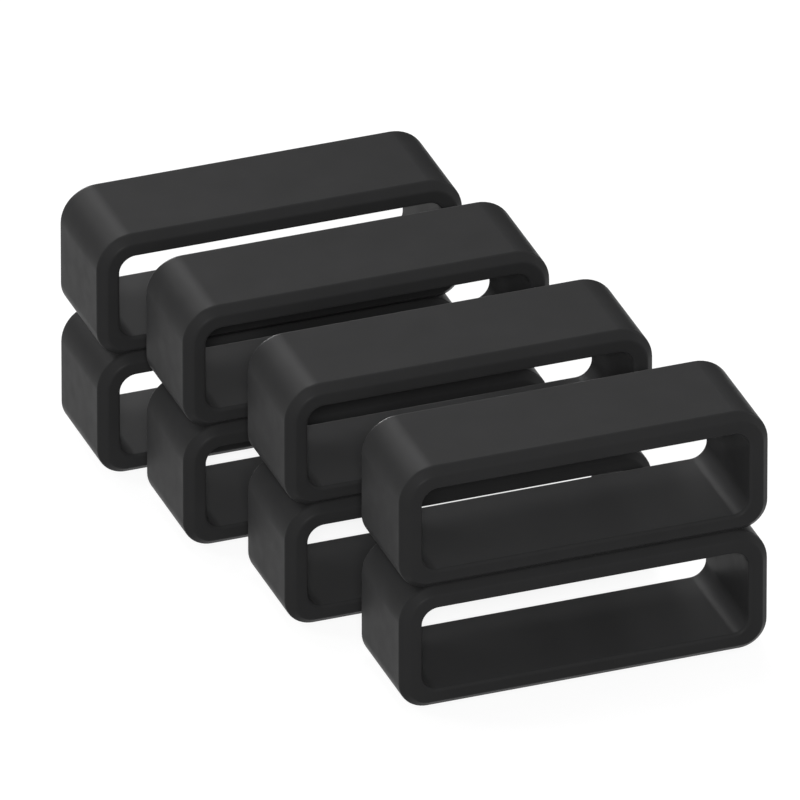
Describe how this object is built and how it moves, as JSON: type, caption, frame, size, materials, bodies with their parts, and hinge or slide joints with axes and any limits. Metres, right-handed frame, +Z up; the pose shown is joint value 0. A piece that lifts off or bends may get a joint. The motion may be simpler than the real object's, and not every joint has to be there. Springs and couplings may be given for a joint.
{
  "type": "watch strap keeper",
  "caption": "Free watch strap keepers: plain moulded rubber loops with bevelled ends that slide over a strap and its loose end, stacked in pairs in a slanting row.",
  "frame": {"origin": "on the surface that the set stands on, below the middle of its outer box", "axes": "+X across the strap passages, +Y along them, away from the front pair, and +Z up"},
  "size_m": [0.0334, 0.0436, 0.0177],
  "materials": {
    "black_silicone": "matte moulded silicone rubber with a fine satin grain"
  },
  "bodies": {
    "front_lower": {"keeper_front_lower": "black_silicone"},
    "front_upper": {"keeper_front_upper": "black_silicone"},
    "mid_front_lower": {"keeper_mid_front_lower": "black_silicone"},
    "mid_front_upper": {"keeper_mid_front_upper": "black_silicone"},
    "mid_rear_lower": {"keeper_mid_rear_lower": "black_silicone"},
    "mid_rear_upper": {"keeper_mid_rear_upper": "black_silicone"},
    "rear_lower": {"keeper_rear_lower": "black_silicone"},
    "rear_upper": {"keeper_rear_upper": "black_silicone"}
  },
  "joints": [
    {"name": "front_upper_lift", "type": "slide", "parent": "front_lower", "child": "front_upper", "axis": [0, 0, 1], "range_m": [0, 0.009]},
    {"name": "mid_front_lower_lift", "type": "slide", "parent": "front_lower", "child": "mid_front_lower", "axis": [0, 0, 1], "range_m": [0, 0.018]},
    {"name": "mid_front_upper_lift", "type": "slide", "parent": "mid_front_lower", "child": "mid_front_upper", "axis": [0, 0, 1], "range_m": [0, 0.009]},
    {"name": "mid_rear_lower_lift", "type": "slide", "parent": "front_lower", "child": "mid_rear_lower", "axis": [0, 0, 1], "range_m": [0, 0.018]},
    {"name": "mid_rear_upper_lift", "type": "slide", "parent": "mid_rear_lower", "child": "mid_rear_upper", "axis": [0, 0, 1], "range_m": [0, 0.009]},
    {"name": "rear_lower_lift", "type": "slide", "parent": "front_lower", "child": "rear_lower", "axis": [0, 0, 1], "range_m": [0, 0.018]},
    {"name": "rear_upper_lift", "type": "slide", "parent": "rear_lower", "child": "rear_upper", "axis": [0, 0, 1], "range_m": [0, 0.009]}
  ]
}
